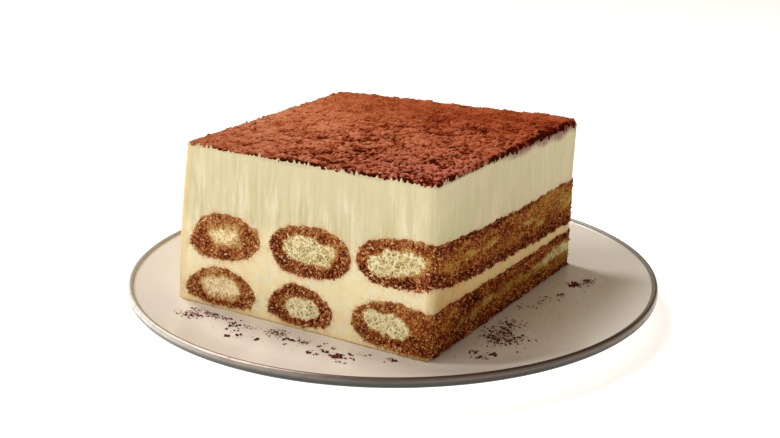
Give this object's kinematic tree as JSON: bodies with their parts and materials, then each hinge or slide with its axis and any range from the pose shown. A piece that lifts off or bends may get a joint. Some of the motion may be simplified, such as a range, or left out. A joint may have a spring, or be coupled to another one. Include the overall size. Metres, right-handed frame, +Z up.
{
  "type": "tiramisu portion on a plate",
  "caption": "Cut block of tiramisu: mascarpone cream round two layers of soaked ladyfingers under cocoa powder, on a round dessert plate with a metallic rim.",
  "frame": {"origin": "centre of the plate's foot, on the surface that the plate stands on", "axes": "+Z up; -Y towards the side that shows the ladyfingers cut across; +X towards the side that cuts the right-hand ladyfingers lengthwise"},
  "size_m": [0.178, 0.178, 0.0601],
  "materials": {
    "porcelain": "glossy warm off-white glaze with a polished metallic band on the rim",
    "cream": "soft pale yellow mascarpone cream with fine vertical knife streaks, slightly moist",
    "ladyfinger": "open sponge crumb, dark brown where coffee soaked in, golden then pale in the core",
    "cocoa": "loose red-brown cocoa powder in small lumps, fully matte"
  },
  "bodies": {
    "root": {"plate": "porcelain", "cream": "cream", "ladyfinger_top_left": "ladyfinger", "ladyfinger_top_middle": "ladyfinger", "ladyfinger_top_right": "ladyfinger", "ladyfinger_bottom_left": "ladyfinger", "ladyfinger_bottom_middle": "ladyfinger", "ladyfinger_bottom_right": "ladyfinger", "cocoa_layer": "cocoa"}
  },
  "joints": []
}
